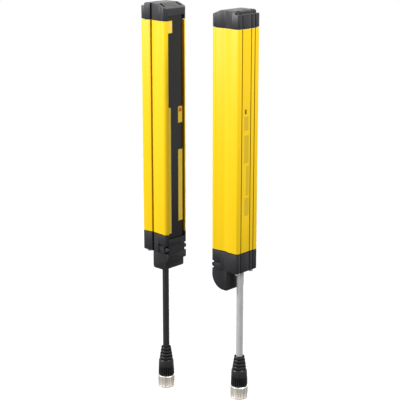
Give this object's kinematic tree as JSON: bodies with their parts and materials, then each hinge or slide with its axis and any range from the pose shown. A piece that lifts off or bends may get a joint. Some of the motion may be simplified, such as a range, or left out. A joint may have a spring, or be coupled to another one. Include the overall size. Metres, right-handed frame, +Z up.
{
  "type": "safety light curtain",
  "caption": "Safety light curtain: receiver and emitter bars that face each other, each with a front window, end caps, a hanging cable and a round plug with a knurled nut.",
  "frame": {"origin": "on the receiver's back face, at the middle of its width and of its housing's length", "axes": "+Z up along the bars; +X along the beams, from the receiver to the emitter; +Y to the left when looking along +X"},
  "size_m": [0.132, 0.0318, 0.4169],
  "materials": {
    "yellow_extrusion": "satin powder coat on an aluminium extrusion",
    "dark_window": "smooth tinted sheet that passes infrared light",
    "black_rubber": "moulded",
    "dark_plastic": "fine-grained moulding",
    "steel_screw": "plain",
    "green_board": "solder mask",
    "clear_resin": "polished",
    "black_cable": "satin sheath",
    "grey_cable": "satin sheath",
    "nickel": "nickel plate, knurled",
    "gold_contact": "gold plate"
  },
  "bodies": {
    "bars": {"receiver_housing": "yellow_extrusion", "receiver_window": "dark_window", "receiver_top_seal": "black_rubber", "receiver_bottom_seal": "black_rubber", "receiver_top_cap": "dark_plastic", "receiver_bottom_cap": "dark_plastic", "receiver_top_cap_screws": "steel_screw", "receiver_bottom_cap_screws": "steel_screw", "receiver_board": "green_board", "receiver_photodiodes": "clear_resin", "receiver_optics_carrier": "dark_plastic", "receiver_lens_strip": "clear_resin", "receiver_terminal_header": "dark_plastic", "receiver_indicator_guide": "clear_resin", "receiver_end_block": "dark_plastic", "receiver_end_block_screw": "steel_screw", "receiver_cable_grommet": "black_rubber", "receiver_cable": "black_cable", "receiver_plug_body": "black_cable", "receiver_contact_insert": "dark_plastic", "receiver_contacts": "gold_contact", "emitter_housing": "yellow_extrusion", "emitter_window": "dark_window", "emitter_top_seal": "black_rubber", "emitter_bottom_seal": "black_rubber", "emitter_top_cap": "dark_plastic", "emitter_bottom_cap": "dark_plastic", "emitter_top_cap_screws": "steel_screw", "emitter_bottom_cap_screws": "steel_screw", "emitter_board": "green_board", "emitter_infrared_leds": "clear_resin", "emitter_optics_carrier": "dark_plastic", "emitter_lens_strip": "clear_resin", "emitter_terminal_header": "dark_plastic", "emitter_indicator_guide": "clear_resin", "emitter_end_block": "dark_plastic", "emitter_end_block_screw": "steel_screw", "emitter_cable_grommet": "black_rubber", "emitter_cable": "grey_cable", "emitter_plug_body": "black_cable", "emitter_contact_insert": "dark_plastic", "emitter_contacts": "gold_contact"},
    "receiver_nut": {"receiver_coupling_nut": "nickel"},
    "emitter_nut": {"emitter_coupling_nut": "nickel"}
  },
  "joints": [
    {"name": "receiver_nut_spin", "type": "hinge", "parent": "bars", "child": "receiver_nut", "pos_m": [0.0178, 0, -0.282], "axis": [0, 0, 1], "continuous": true},
    {"name": "emitter_nut_spin", "type": "hinge", "parent": "bars", "child": "emitter_nut", "pos_m": [0.1228, 0, -0.264], "axis": [0, 0, 1], "continuous": true}
  ]
}
